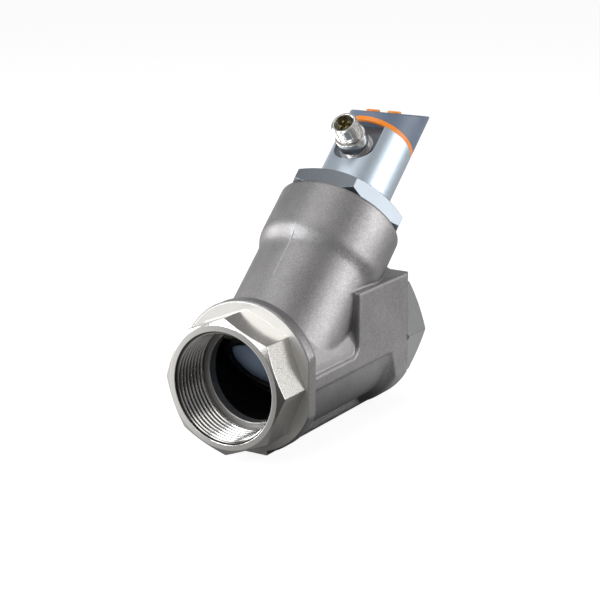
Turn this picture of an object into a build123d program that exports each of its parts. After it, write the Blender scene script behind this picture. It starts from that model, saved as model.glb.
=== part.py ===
from build123d import *
from math import cos, radians, sin, sqrt, tan
import os

# Inline flow sensor, in millimetres. The origin is the centre of the inlet face, +X runs along
# the pipe to the outlet, +Z is up, and the branch leans up towards the outlet in the XZ plane.

# Pipe run
BODY_LENGTH = 122.0
THREAD_R = 23.9
THREAD_DEPTH = 19.5
BORE_STEP = 3.7
BORE_LENGTH = 4.5
CHAMBER_STEP = 2.9
OCTAGON_WALL = 3.1
OCTAGON_LENGTH = 17.3
OCTAGON_CHAMFER_ANGLE = 30.0
FACE_INSET = 0.7
PIPE_WALL = 6.5
PIPE_DROP = 2.0
COLLAR_RISE = 5.3
COLLAR_EDGE = 0.7
INLET_COLLAR_WIDTH = 6.2
INLET_COLLAR_FLARE = 3.0
INLET_COLLAR_PROUD = 2.7
OUTLET_COLLAR_WIDTH = 11.0
OUTLET_COLLAR_FLARE = 6.5

# Side pads, side bands and the foot rib of the casting
PAD_PROUD = 1.0
PAD_SETBACK = 28.0
PAD_RISE = 2.6
PAD_BOTTOM = -3.8
BAND_TOP = 2.7
PAD_CORNER_R = 4.5
PAD_EDGE_R = 2.4
RIB_HALF_WIDTH = 10.0
RIB_DROP = 4.9

# Branch, with heights measured along it from the pipe's centre line
BRANCH_ANGLE = 42.0
BRANCH_X = 33.0
BRANCH_WALL = 4.8
BRANCH_SWELL = 2.3
STEP_LOW = 47.0
STEP_LENGTH = 11.0
BRANCH_TOP = 78.5
BONNET_BORE_DEPTH = 18.5
SEAT_WALL_LOW = 2.0
SEAT_WALL = 4.5
CROTCH_FILLET = 3.0
CAST_EDGE = 0.9

# Seat ring and piston
SEAT_HOLE_STEP = 1.7
SEAT_RING_WALL = 2.0
SEAT_RING_DROP = 2.5
SEAT_BEVEL = 0.8
PISTON_OVERLAP = 2.3
NOSE_LENGTH = 6.5
NOSE_DOME = 5.0
SEAL_THICKNESS = 1.2
PISTON_FLANGE = 4.0
STEM_WALL = 1.0
STEM_LENGTH = 28.0
PISTON_TRAVEL = 15.0
MAGNET_THICKNESS = 2.7
MAGNET_LENGTH = 6.0
MAGNET_HEIGHT = 18.0
CLIP_WIDTH = 1.0
BUSH_WALL = 1.2
BUSH_LENGTH = 7.0
SPRING_R = 12.4
SPRING_WIRE = 1.3
SPRING_TURNS = 6.5

# Bonnet and sensor pocket
HEX_LAND = 1.1
HEX_HEIGHT = 9.1
HEX_CLOCKING = 33.0
SHANK_END_GAP = 0.5
SOCKET_DEPTH = 19.6
POCKET_R = 5.25
POCKET_WALL = 1.25
POCKET_END_WALL = 1.5
POCKET_FLANGE_R = 7.5
POCKET_FLANGE = 1.0
BONNET_SEAL = 1.9
BONNET_SEAL_DEPTH = 1.5

# Sensor head
TUBE_R = 17.0
TUBE_LENGTH = 34.3
TUBE_WALL = 1.8
TUBE_FLOOR = 3.0
NECK_STEP = 2.95
NECK_BORE_R = 6.5
NECK_FOOT_GAP = 2.3
RETAINER_DEPTH = 1.3
RETAINER_OVERLAP = 1.15
RETAINER_HEIGHT = 12.0
SWIVEL_SEAL = 1.5
SWIVEL_SEAL_HEIGHT = 6.8
SEAL_BEVEL = 0.3
STOP_PIN_R = 0.6
STOP_PIN_INSET = 2.55
STOP_PIN_HOLD = 3.0
STOP_GROOVE_HALF = 1.1
STOP_GROOVE_DEPTH = 2.6
RECESS_DEPTH = 4.8
RECESS_R = 9.9
RING_WIDTH = 2.3
RING_WALL = 1.3
SPIGOT_STEP = 2.2
CAP_HEIGHT = 16.2
CAP_WALL = 2.0
CAP_FLOOR = 2.0
CAP_EDGE = 0.6
SPIGOT_LENGTH = 2.7
SPIGOT_WALL = 1.4
FACE_WALL = 2.2
FACE_TILT = 38.0

# Round connector, with heights measured from the head's axis
CONNECTOR_DROP = 12.2
CONNECTOR_THREAD_R = 6.0
CONNECTOR_THREAD_LENGTH = 7.6
CONNECTOR_GROOVE = 1.0
CONNECTOR_COLLAR_R = 7.0
CONNECTOR_COLLAR_LENGTH = 5.6
CONNECTOR_NECK_R = 6.2
CONNECTOR_NECK_LENGTH = 2.4
CONNECTOR_BORE_R = 4.4
CONNECTOR_SHANK_R = 5.0
CONNECTOR_NUT_AF = 14.0
CONNECTOR_NUT = 2.8
GASKET_R = 7.8
GASKET = 0.8
SOCKET_FLOOR = 8.8
SHANK_END = 0.8
MOUTH_BEVEL = 0.4
KEY_NOTCH_WIDTH = 2.8
KEY_NOTCH_LENGTH = 5.5
KEY_NOTCH_DEPTH = 0.9
KEY_NOTCH_START = 0.6
KEY_NOTCH_ANGLE = -147.0
PIN_COUNT = 4
PIN_R = 0.5
PIN_CIRCLE_R = 2.0
PIN_SETBACK = 1.2
PIN_TAIL = 1.2

# Display face
WINDOW_LENGTH = 20.0
WINDOW_WIDTH = 11.0
WINDOW_RISE = 7.4
WINDOW_LIP = 1.0
WINDOW_GLASS = 1.2
MODULE_LENGTH = 17.0
MODULE_WIDTH = 8.0
MODULE_RISE = 6.0
BUTTON_R = 3.2
BUTTON_SPACING = 11.0
BUTTON_FALL = 6.8
BUTTON_RISE = 1.0
BUTTON_CROWN = 0.5
BUTTON_LIP = 0.8
BUTTON_FLANGE = 1.0
BUTTON_TRAVEL = 0.8
SWITCH_SIZE = 4.0
SWITCH_HEIGHT = 1.5
DISPLAY_BOARD_LENGTH = 22.0
DISPLAY_BOARD_WIDTH = 16.0
DISPLAY_BOARD_FALL = 1.0
DISPLAY_BOARD_CORNER = 4.0
POST_R = 1.2
POSTS = ((10.8, 0), (0.3, 6.5), (0.3, -6.5))
BOARD = 1.6
MAIN_BOARD_INSET = 8.0
MAIN_BOARD_EDGE_GAP = 0.65
MAIN_BOARD_TOP_GAP = 2.6
RAIL_WALL = 1.2
RAIL_WIDTH = 3.2
PROBE_FLANGE_OVERLAP = 1.8
PROBE_FLANGE = 1.2

# Clearances
RUN_GAP = 0.3
SHAFT_GAP = 0.1
SEAT_GAP = 0.05
BOARD_GAP = 0.2
THREAD_GAP = 0.3

# Radii and widths of the valve
BORE_R = THREAD_R - BORE_STEP
CHAMBER_R = THREAD_R - CHAMBER_STEP
OCTAGON_AF = 2 * (THREAD_R + OCTAGON_WALL)
PIPE_R = CHAMBER_R + PIPE_WALL
COLLAR_R = PIPE_R + COLLAR_RISE
INLET_COLLAR_HALF_WIDTH = PIPE_R + INLET_COLLAR_PROUD
PAD_HALF_WIDTH = PIPE_R + PAD_PROUD
PAD_TOP = PIPE_R + PAD_RISE
RIB_BOTTOM = -PIPE_R - RIB_DROP
BRANCH_LOWER_R = CHAMBER_R + BRANCH_WALL
BRANCH_UPPER_R = BRANCH_LOWER_R + BRANCH_SWELL
SEAT_HOLE_R = CHAMBER_R - SEAT_HOLE_STEP
SEAT_BORE_R = SEAT_HOLE_R - SEAT_RING_WALL
PISTON_R = SEAT_BORE_R + PISTON_OVERLAP
STEM_BORE_R = POCKET_R + SHAFT_GAP + BUSH_WALL + SEAT_GAP
STEM_R = STEM_BORE_R + STEM_WALL
HEX_AF = 2 * (THREAD_R + HEX_LAND)
PAD_START = BRANCH_X + PAD_SETBACK

# Radii and widths of the head
SOCKET_R = TUBE_R - NECK_STEP
NECK_R = SOCKET_R - SHAFT_GAP
STOP_PIN_CIRCLE_R = SOCKET_R - STOP_PIN_INSET
RING_INNER_R = TUBE_R - RING_WALL
RECESS_FLOOR = TUBE_R - RECESS_DEPTH
WALL_FACE = RECESS_FLOOR - TUBE_WALL
COLLAR_SEAT = RECESS_FLOOR + GASKET + CONNECTOR_NECK_LENGTH
CONNECTOR_REACH = COLLAR_SEAT + CONNECTOR_COLLAR_LENGTH + CONNECTOR_GROOVE + CONNECTOR_THREAD_LENGTH
MAIN_BOARD_OFFSET = TUBE_R - MAIN_BOARD_INSET
MAIN_BOARD_REACH = TUBE_R - TUBE_WALL - MAIN_BOARD_EDGE_GAP
MAIN_BOARD_WIDTH = 2 * sqrt(MAIN_BOARD_REACH**2 - (MAIN_BOARD_OFFSET + BOARD) ** 2)
MAIN_BOARD_HEIGHT = TUBE_LENGTH - TUBE_FLOOR - SPIGOT_LENGTH - MAIN_BOARD_TOP_GAP
BUTTON_FLANGE_R = BUTTON_R + BUTTON_LIP

# Levels along the branch
STEP_HIGH = STEP_LOW + STEP_LENGTH
SEAT_TOP = SEAT_WALL_LOW + SEAT_WALL
SEAL_LOW = SEAT_TOP + RUN_GAP
FLANGE_LOW = SEAL_LOW + SEAL_THICKNESS
FLANGE_TOP = FLANGE_LOW + PISTON_FLANGE
STEM_TOP = FLANGE_TOP + STEM_LENGTH
POCKET_END = FLANGE_TOP + PISTON_TRAVEL
BONNET_SEAT = BRANCH_TOP - BONNET_BORE_DEPTH
SHANK_LOW = BONNET_SEAT + SHANK_END_GAP
HEX_TOP = BRANCH_TOP + HEX_HEIGHT
SOCKET_LOW = HEX_TOP - SOCKET_DEPTH
TUBE_LOW = HEX_TOP + RUN_GAP
TUBE_TOP = TUBE_LOW + TUBE_LENGTH
NECK_LOW = SOCKET_LOW + NECK_FOOT_GAP
RING_TOP = TUBE_TOP + RING_WIDTH
CAP_CENTRE = RING_TOP + CAP_HEIGHT
DISPLAY_BOARD_DEPTH = FACE_WALL + BUTTON_FLANGE + BUTTON_TRAVEL + SWITCH_HEIGHT + 2 * RUN_GAP
CONNECTOR_AXIS = TUBE_TOP - CONNECTOR_DROP
CAVITY_LOW = TUBE_LOW + TUBE_FLOOR
RETAINER_LOW = NECK_LOW + RETAINER_HEIGHT
OUTLET_SHOULDER = BODY_LENGTH - THREAD_DEPTH
OUTLET_BASE = BODY_LENGTH - OCTAGON_LENGTH

# Working planes
LEAN = radians(BRANCH_ANGLE)
BRANCH = Plane(origin=(BRANCH_X, 0, 0), x_dir=(-sin(LEAN), 0, cos(LEAN)), z_dir=(cos(LEAN), 0, sin(LEAN)))
BRANCH_AXIS = Axis(BRANCH.origin, BRANCH.z_dir)
PROFILE = Plane(origin=BRANCH.origin, x_dir=BRANCH.x_dir, z_dir=-BRANCH.y_dir)
CONNECTOR_ORIGIN = BRANCH.from_local_coords(Vector(0, 0, CONNECTOR_AXIS))
CONNECTOR_PLANE = Plane(origin=CONNECTOR_ORIGIN, x_dir=BRANCH.z_dir, z_dir=BRANCH.x_dir)
CONNECTOR_PROFILE = Plane(origin=CONNECTOR_ORIGIN, x_dir=BRANCH.z_dir, z_dir=BRANCH.y_dir)
CONNECTOR_LINE = Axis(CONNECTOR_ORIGIN, BRANCH.x_dir)
TILT = radians(FACE_TILT)
FACE_NORMAL = BRANCH.z_dir * cos(TILT) + BRANCH.x_dir * sin(TILT)
FACE_FALL = BRANCH.x_dir * cos(TILT) - BRANCH.z_dir * sin(TILT)
FACE = Plane(origin=BRANCH.from_local_coords(Vector(0, 0, CAP_CENTRE)), x_dir=FACE_FALL, z_dir=FACE_NORMAL)
BOARD_PLANE = Plane(origin=BRANCH.origin, x_dir=BRANCH.y_dir, z_dir=BRANCH.x_dir)

os.makedirs("parts", exist_ok=True)


def band(r_in, r_out, low, high, mode=Mode.ADD):
    """Section of a turned ring: radius across, height along the axis."""
    with Locations(((r_in + r_out) / 2, (low + high) / 2)):
        Rectangle(r_out - r_in, high - low, mode=mode)


def save(piece, name):
    """Label a finished piece and write it under its own name."""
    piece.part.label = name
    export_step(piece.part, f"parts/{name}.step")


def octagon_end():
    """Wrench octagon at the origin, its outer corners turned back to the round face."""
    corner_r = OCTAGON_AF / 2 / cos(radians(22.5))
    face_r = OCTAGON_AF / 2 - FACE_INSET
    chamfer_depth = (corner_r - face_r) * tan(radians(OCTAGON_CHAMFER_ANGLE))
    with BuildPart() as end:
        with BuildSketch(Plane.YZ):
            RegularPolygon(OCTAGON_AF / 2, 8, major_radius=False)
        extrude(amount=OCTAGON_LENGTH)
        with BuildSketch(Plane.XZ):
            with BuildLine():
                Polyline(
                    (0, 0),
                    (0, face_r),
                    (chamfer_depth, corner_r),
                    (OCTAGON_LENGTH, corner_r),
                    (OCTAGON_LENGTH, 0),
                    close=True,
                )
            make_face()
        revolve(axis=Axis.X, mode=Mode.INTERSECT)
    return end.part


def collar(width, flare, half_width):
    """Cast collar from the origin along +X: a rim with two flat sides, flared down to the pipe."""
    with BuildPart() as ring:
        with BuildSketch(Plane.XZ) as section:
            with BuildLine():
                Polyline((width + flare, PIPE_R), (width + flare, 0), (0, 0), (0, COLLAR_R), (width, COLLAR_R))
                TangentArc((width + flare, PIPE_R), (width, COLLAR_R), tangent=(-1, 0))
            make_face()
            chamfer(section.vertices().group_by(Axis.Y)[-1], length=COLLAR_EDGE)
        revolve(axis=Axis.X)
        with BuildSketch(Plane.YZ):
            Rectangle(2 * half_width, 3 * COLLAR_R)
        extrude(amount=width + flare, mode=Mode.INTERSECT)
    return ring.part


def side_block():
    """Flat-sided block under the branch, with the narrow band that runs back to the inlet collar."""
    with BuildPart() as block:
        with BuildSketch(Plane.XZ) as outline:
            with BuildLine():
                Polyline(
                    (OCTAGON_LENGTH, PAD_BOTTOM),
                    (OUTLET_BASE, PAD_BOTTOM),
                    (OUTLET_BASE, PAD_TOP),
                    (PAD_START, PAD_TOP),
                    (PAD_START, BAND_TOP),
                    (OCTAGON_LENGTH, BAND_TOP),
                    close=True,
                )
            make_face()
            back_corners = outline.vertices().filter_by(lambda v: abs(v.X - PAD_START) < 0.01)
            fillet(back_corners.sort_by(Axis.Y)[0], radius=PAD_CORNER_R)
            fillet(back_corners.sort_by(Axis.Y)[-1], radius=PAD_EDGE_R)
        extrude(amount=PAD_HALF_WIDTH, both=True)
        fillet(block.faces().filter_by(Axis.Y).edges(), radius=CAST_EDGE)
    return block.part


def outer_branch():
    """Branch barrel with its soft swell to the wider upper part."""
    with BuildPart() as barrel:
        with BuildSketch(PROFILE):
            with BuildLine():
                Polyline((BRANCH_UPPER_R, STEP_HIGH), (BRANCH_UPPER_R, BRANCH_TOP), (0, BRANCH_TOP), (0, 0))
                Polyline((0, 0), (BRANCH_LOWER_R, 0), (BRANCH_LOWER_R, STEP_LOW))
                Bezier(
                    (BRANCH_LOWER_R, STEP_LOW),
                    (BRANCH_LOWER_R, (STEP_LOW + STEP_HIGH) / 2),
                    (BRANCH_UPPER_R, (STEP_LOW + STEP_HIGH) / 2),
                    (BRANCH_UPPER_R, STEP_HIGH),
                )
            make_face()
        revolve(axis=BRANCH_AXIS)
    return barrel.part


def inlet_core():
    """Space from the inlet thread to the underside of the seat wall."""
    with BuildPart() as core:
        with BuildSketch(Plane.YZ.offset(THREAD_DEPTH)):
            Circle(BORE_R)
        extrude(amount=BORE_LENGTH)
        with BuildSketch(Plane.YZ.offset(THREAD_DEPTH + BORE_LENGTH)):
            Circle(CHAMBER_R)
        extrude(amount=BODY_LENGTH / 2)
        split(bisect_by=BRANCH.offset(SEAT_WALL_LOW), keep=Keep.BOTTOM)
    return core.part


def outlet_core():
    """Space from the top of the seat wall to the outlet thread."""
    with BuildPart() as core:
        with BuildSketch(Plane.YZ.offset(BRANCH_X)):
            Circle(CHAMBER_R)
        extrude(amount=OUTLET_SHOULDER - BORE_LENGTH - BRANCH_X)
        with BuildSketch(Plane.YZ.offset(OUTLET_SHOULDER)):
            Circle(BORE_R)
        extrude(amount=-BORE_LENGTH)
        split(bisect_by=BRANCH.offset(SEAT_TOP), keep=Keep.TOP)
    return core.part


# Valve body: one casting with pipe run, branch, collars, side pads and foot rib
with BuildPart() as valve_body:
    with BuildSketch(Plane.YZ.offset(OCTAGON_LENGTH)):
        with Locations((0, -PIPE_DROP / 2)):
            SlotCenterToCenter(PIPE_DROP, 2 * PIPE_R, rotation=90)
    extrude(amount=OUTLET_BASE - OCTAGON_LENGTH)
    add(side_block())
    add(outer_branch())
    with BuildSketch(Plane.XY.offset(RIB_BOTTOM)):
        with Locations(((OCTAGON_LENGTH + OUTLET_BASE) / 2, 0)):
            Rectangle(OUTLET_BASE - OCTAGON_LENGTH, 2 * RIB_HALF_WIDTH)
    extrude(amount=-RIB_BOTTOM / 2)
    inlet_collar = collar(INLET_COLLAR_WIDTH, INLET_COLLAR_FLARE, INLET_COLLAR_HALF_WIDTH)
    add(inlet_collar.moved(Location((OCTAGON_LENGTH, 0, 0))))
    outlet_collar = collar(OUTLET_COLLAR_WIDTH, OUTLET_COLLAR_FLARE, PAD_HALF_WIDTH)
    add(outlet_collar.mirror(Plane.YZ).moved(Location((OUTLET_BASE, 0, 0))))
    add(octagon_end())
    add(octagon_end().mirror(Plane.YZ).moved(Location((BODY_LENGTH, 0, 0))))
    crotch = valve_body.edges().filter_by(GeomType.BSPLINE).filter_by(
        lambda e: e.length > CHAMBER_R and e.center().Z > BAND_TOP and e.center().X < PAD_START
    )
    fillet(crotch, radius=CROTCH_FILLET)
    add(inlet_core(), mode=Mode.SUBTRACT)
    add(outlet_core(), mode=Mode.SUBTRACT)
    with BuildSketch(Plane.YZ):
        Circle(THREAD_R)
    extrude(amount=THREAD_DEPTH, mode=Mode.SUBTRACT)
    with BuildSketch(Plane.YZ.offset(BODY_LENGTH)):
        Circle(THREAD_R)
    extrude(amount=-THREAD_DEPTH, mode=Mode.SUBTRACT)
    with BuildSketch(PROFILE):
        band(0, CHAMBER_R, SEAT_TOP, BRANCH_TOP)
        band(0, THREAD_R, BONNET_SEAT, BRANCH_TOP)
        band(0, SEAT_HOLE_R, SEAT_WALL_LOW, SEAT_TOP)
    revolve(axis=BRANCH_AXIS, mode=Mode.SUBTRACT)
save(valve_body, "valve_body")

# Seat ring pressed into the slanted wall
with BuildPart() as seat_ring:
    with BuildSketch(PROFILE):
        band(SEAT_BORE_R, SEAT_HOLE_R - SEAT_GAP, SEAT_WALL_LOW - SEAT_RING_DROP, SEAT_TOP)
    revolve(axis=BRANCH_AXIS)
    rim = seat_ring.edges().filter_by(GeomType.CIRCLE).sort_by(Axis(BRANCH.origin, BRANCH.z_dir))[-2:]
    chamfer(rim.sort_by(SortBy.RADIUS)[0], length=SEAT_BEVEL)
save(seat_ring, "seat_ring")

# Piston: domed nose through the seat, sealing flange and hollow guide stem
with BuildPart() as piston:
    with BuildSketch(PROFILE):
        nose_r = SEAT_BORE_R - 2 * RUN_GAP
        nose_shoulder = FLANGE_LOW - NOSE_LENGTH
        nose_tip = nose_shoulder - NOSE_DOME
        with BuildLine():
            Polyline((nose_r, nose_shoulder), (nose_r, FLANGE_LOW), (0, FLANGE_LOW), (0, nose_tip))
            TangentArc((0, nose_tip), (nose_r, nose_shoulder), tangent=(1, 0))
        make_face()
        band(0, PISTON_R, FLANGE_LOW, FLANGE_TOP)
        band(0, STEM_R, FLANGE_TOP, STEM_TOP)
        band(0, STEM_R + MAGNET_THICKNESS / 2, FLANGE_TOP, FLANGE_TOP + MAGNET_HEIGHT)
        clip_low = FLANGE_TOP + MAGNET_HEIGHT + MAGNET_LENGTH + SEAT_GAP
        band(STEM_R - CLIP_WIDTH / 2, STEM_R, clip_low, clip_low + CLIP_WIDTH, mode=Mode.SUBTRACT)
        band(0, STEM_BORE_R, FLANGE_LOW, STEM_TOP, mode=Mode.SUBTRACT)
    revolve(axis=BRANCH_AXIS)
save(piston, "piston")

# Soft sealing ring bonded under the piston's flange
with BuildPart() as piston_seal:
    with BuildSketch(PROFILE):
        band(SEAT_BORE_R - RUN_GAP, PISTON_R - RUN_GAP, SEAL_LOW, FLANGE_LOW)
    revolve(axis=BRANCH_AXIS)
save(piston_seal, "piston_seal")

# Magnet ring on the stem
with BuildPart() as piston_magnet:
    magnet_low = FLANGE_TOP + MAGNET_HEIGHT
    with BuildSketch(PROFILE):
        band(STEM_R + SEAT_GAP, STEM_R + MAGNET_THICKNESS, magnet_low, magnet_low + MAGNET_LENGTH)
    revolve(axis=BRANCH_AXIS)
save(piston_magnet, "piston_magnet")

# Open clip that holds the magnet down
with BuildPart() as magnet_clip:
    with BuildSketch(PROFILE):
        band(STEM_R - CLIP_WIDTH / 2 + SEAT_GAP, STEM_R + MAGNET_THICKNESS / 2, clip_low, clip_low + CLIP_WIDTH)
    revolve(axis=BRANCH_AXIS, revolution_arc=320)
save(magnet_clip, "magnet_clip")

# Plain bearing pressed into the top of the stem
with BuildPart() as guide_bush:
    with BuildSketch(PROFILE):
        band(POCKET_R + SHAFT_GAP, STEM_BORE_R - SEAT_GAP, STEM_TOP - BUSH_LENGTH, STEM_TOP)
    revolve(axis=BRANCH_AXIS)
save(guide_bush, "guide_bush")

# Return spring between the piston's flange and the bonnet
with BuildPart() as return_spring:
    spring_low = FLANGE_TOP + RUN_GAP + SPRING_WIRE / 2
    spring_height = SHANK_LOW - SEAT_GAP - SPRING_WIRE / 2 - spring_low
    spring_foot = BRANCH.from_local_coords(Vector(0, 0, spring_low))
    with BuildLine() as coil:
        Helix(spring_height / SPRING_TURNS, spring_height, SPRING_R, center=spring_foot, direction=BRANCH.z_dir)
    with BuildSketch(Plane(origin=coil.line @ 0, z_dir=coil.line % 0, x_dir=BRANCH.x_dir)):
        RegularPolygon(SPRING_WIRE / 2, 4)
    sweep(path=coil.line, is_frenet=True)
save(return_spring, "return_spring")


# Bonnet: hexagon, threaded shank and the bored socket that carries the head
with BuildPart() as bonnet:
    shank_r = THREAD_R - THREAD_GAP
    corner_r = HEX_AF / 2 / cos(radians(30))
    corner_drop = (corner_r - HEX_AF / 2) * tan(radians(OCTAGON_CHAMFER_ANGLE))
    with BuildSketch(BRANCH.offset(SHANK_LOW)):
        RegularPolygon(HEX_AF / 2, 6, major_radius=False, rotation=HEX_CLOCKING)
    extrude(amount=HEX_TOP - SHANK_LOW)
    with BuildSketch(PROFILE):
        with BuildLine():
            Polyline(
                (0, SHANK_LOW),
                (shank_r, SHANK_LOW),
                (shank_r, BRANCH_TOP),
                (HEX_AF / 2, BRANCH_TOP),
                (corner_r, BRANCH_TOP + corner_drop),
                (corner_r, HEX_TOP - corner_drop),
                (HEX_AF / 2, HEX_TOP),
                (0, HEX_TOP),
                close=True,
            )
        make_face()
    revolve(axis=BRANCH_AXIS, mode=Mode.INTERSECT)
    bonnet_seal_low = BRANCH_TOP - BONNET_SEAL_DEPTH - BONNET_SEAL
    with BuildSketch(PROFILE):
        band(0, SOCKET_R, SOCKET_LOW, HEX_TOP)
        band(0, POCKET_R + SEAT_GAP, SHANK_LOW, SOCKET_LOW)
        seal_floor = THREAD_R - BONNET_SEAL - 2 * SEAT_GAP
        band(seal_floor, THREAD_R, bonnet_seal_low - RUN_GAP, BRANCH_TOP - BONNET_SEAL_DEPTH + RUN_GAP)
        band(
            SOCKET_R / 2,
            SOCKET_R + RETAINER_OVERLAP + RUN_GAP,
            RETAINER_LOW - RUN_GAP,
            RETAINER_LOW + CLIP_WIDTH + RUN_GAP,
        )
    revolve(axis=BRANCH_AXIS, mode=Mode.SUBTRACT)
    with BuildSketch(BRANCH.offset(SOCKET_LOW)):
        with Locations((-STOP_PIN_CIRCLE_R, 0)):
            Circle(STOP_PIN_R + SEAT_GAP)
    extrude(amount=-STOP_PIN_HOLD - SEAT_GAP, mode=Mode.SUBTRACT)
save(bonnet, "bonnet")

# Square-cut seal between the bonnet's shank and the casting
with BuildPart() as bonnet_seal:
    with BuildSketch(PROFILE) as seal_section:
        band(seal_floor + SEAT_GAP, THREAD_R - SEAT_GAP, bonnet_seal_low, BRANCH_TOP - BONNET_SEAL_DEPTH)
        chamfer(seal_section.vertices(), length=SEAL_BEVEL)
    revolve(axis=BRANCH_AXIS)
save(bonnet_seal, "bonnet_seal")

# Blind pocket that keeps the flow away from the probe and guides the piston
with BuildPart() as sensor_pocket:
    with BuildSketch(PROFILE):
        band(0, POCKET_R, POCKET_END, SOCKET_LOW)
        band(0, POCKET_FLANGE_R, SOCKET_LOW, SOCKET_LOW + POCKET_FLANGE)
        band(
            0,
            POCKET_R - POCKET_WALL,
            POCKET_END + POCKET_END_WALL,
            SOCKET_LOW + POCKET_FLANGE,
            mode=Mode.SUBTRACT,
        )
    revolve(axis=BRANCH_AXIS)
save(sensor_pocket, "sensor_pocket")

# Fixed stop pin that stands in the bonnet's socket floor
with BuildPart() as bonnet_stop_pin:
    with BuildSketch(BRANCH.offset(SOCKET_LOW - STOP_PIN_HOLD)):
        with Locations((-STOP_PIN_CIRCLE_R, 0)):
            Circle(STOP_PIN_R)
    extrude(amount=STOP_PIN_HOLD + NECK_LOW - SOCKET_LOW + STOP_GROOVE_DEPTH - RUN_GAP)
save(bonnet_stop_pin, "bonnet_stop_pin")

# Head housing: steel tube, its swivel neck, the connector recess and rails for the main board
with BuildPart() as head_housing:
    neck_seal_low = NECK_LOW + SWIVEL_SEAL_HEIGHT
    neck_seal_floor = SOCKET_R - SWIVEL_SEAL - 2 * SEAT_GAP
    with BuildSketch(PROFILE):
        band(NECK_BORE_R, NECK_R, NECK_LOW, CAVITY_LOW)
        band(NECK_BORE_R, TUBE_R, TUBE_LOW, TUBE_TOP)
        band(
            STOP_PIN_CIRCLE_R - STOP_GROOVE_HALF,
            STOP_PIN_CIRCLE_R + STOP_GROOVE_HALF,
            NECK_LOW,
            NECK_LOW + STOP_GROOVE_DEPTH,
            mode=Mode.SUBTRACT,
        )
        band(
            NECK_R - RETAINER_DEPTH,
            NECK_R,
            RETAINER_LOW - SEAT_GAP,
            RETAINER_LOW + CLIP_WIDTH + SEAT_GAP,
            mode=Mode.SUBTRACT,
        )
        band(
            neck_seal_floor,
            NECK_R,
            neck_seal_low - RUN_GAP,
            neck_seal_low + SWIVEL_SEAL + RUN_GAP,
            mode=Mode.SUBTRACT,
        )
    revolve(axis=BRANCH_AXIS)
    with BuildSketch(BRANCH.offset(CAVITY_LOW)):
        Circle(TUBE_R - TUBE_WALL)
        with Locations((WALL_FACE + TUBE_R / 2, 0)):
            Rectangle(TUBE_R, 2 * TUBE_R, mode=Mode.SUBTRACT)
    extrude(amount=TUBE_TOP - CAVITY_LOW, mode=Mode.SUBTRACT)
    with BuildSketch(BRANCH.offset(CAVITY_LOW)):
        with Locations((-MAIN_BOARD_OFFSET - BOARD / 2, 0)):
            with GridLocations(0, MAIN_BOARD_WIDTH, 1, 2):
                Rectangle(BOARD + 2 * RAIL_WALL, RAIL_WIDTH)
            Rectangle(BOARD + 2 * BOARD_GAP, MAIN_BOARD_WIDTH + 2 * BOARD_GAP, mode=Mode.SUBTRACT)
    extrude(amount=MAIN_BOARD_HEIGHT)
    with BuildSketch(CONNECTOR_PLANE.offset(RECESS_FLOOR)):
        Circle(RECESS_R)
        with Locations((CONNECTOR_DROP / 2, 0)):
            Rectangle(CONNECTOR_DROP, 2 * RECESS_R)
    extrude(amount=RECESS_DEPTH, mode=Mode.SUBTRACT)
    with BuildSketch(CONNECTOR_PLANE.offset(RECESS_FLOOR)):
        Circle(CONNECTOR_SHANK_R + SEAT_GAP)
    extrude(amount=-TUBE_WALL, mode=Mode.SUBTRACT)
    with BuildSketch(BRANCH.offset(NECK_LOW + STOP_GROOVE_DEPTH)):
        with Locations((STOP_PIN_CIRCLE_R, 0)):
            Circle(STOP_PIN_R + SEAT_GAP)
    extrude(amount=STOP_PIN_HOLD + SEAT_GAP, mode=Mode.SUBTRACT)
save(head_housing, "head_housing")

# Open ring that keeps the head's neck in the bonnet
with BuildPart() as retaining_ring:
    with BuildSketch(PROFILE):
        ring_inner = NECK_R - RETAINER_DEPTH + SEAT_GAP
        band(ring_inner, SOCKET_R + RETAINER_OVERLAP, RETAINER_LOW, RETAINER_LOW + CLIP_WIDTH)
    revolve(axis=BRANCH_AXIS, revolution_arc=330)
save(retaining_ring, "retaining_ring")

# Square-cut seal round the neck
with BuildPart() as swivel_seal:
    with BuildSketch(PROFILE) as seal_section:
        band(neck_seal_floor + SEAT_GAP, SOCKET_R - SEAT_GAP, neck_seal_low, neck_seal_low + SWIVEL_SEAL)
        chamfer(seal_section.vertices(), length=SEAL_BEVEL)
    revolve(axis=BRANCH_AXIS)
save(swivel_seal, "swivel_seal")

# Turning stop pin that hangs in the neck's groove
with BuildPart() as head_stop_pin:
    with BuildSketch(BRANCH.offset(NECK_LOW)):
        with Locations((STOP_PIN_CIRCLE_R, 0)):
            Circle(STOP_PIN_R)
    extrude(amount=STOP_GROOVE_DEPTH + STOP_PIN_HOLD)
save(head_stop_pin, "head_stop_pin")

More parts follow.
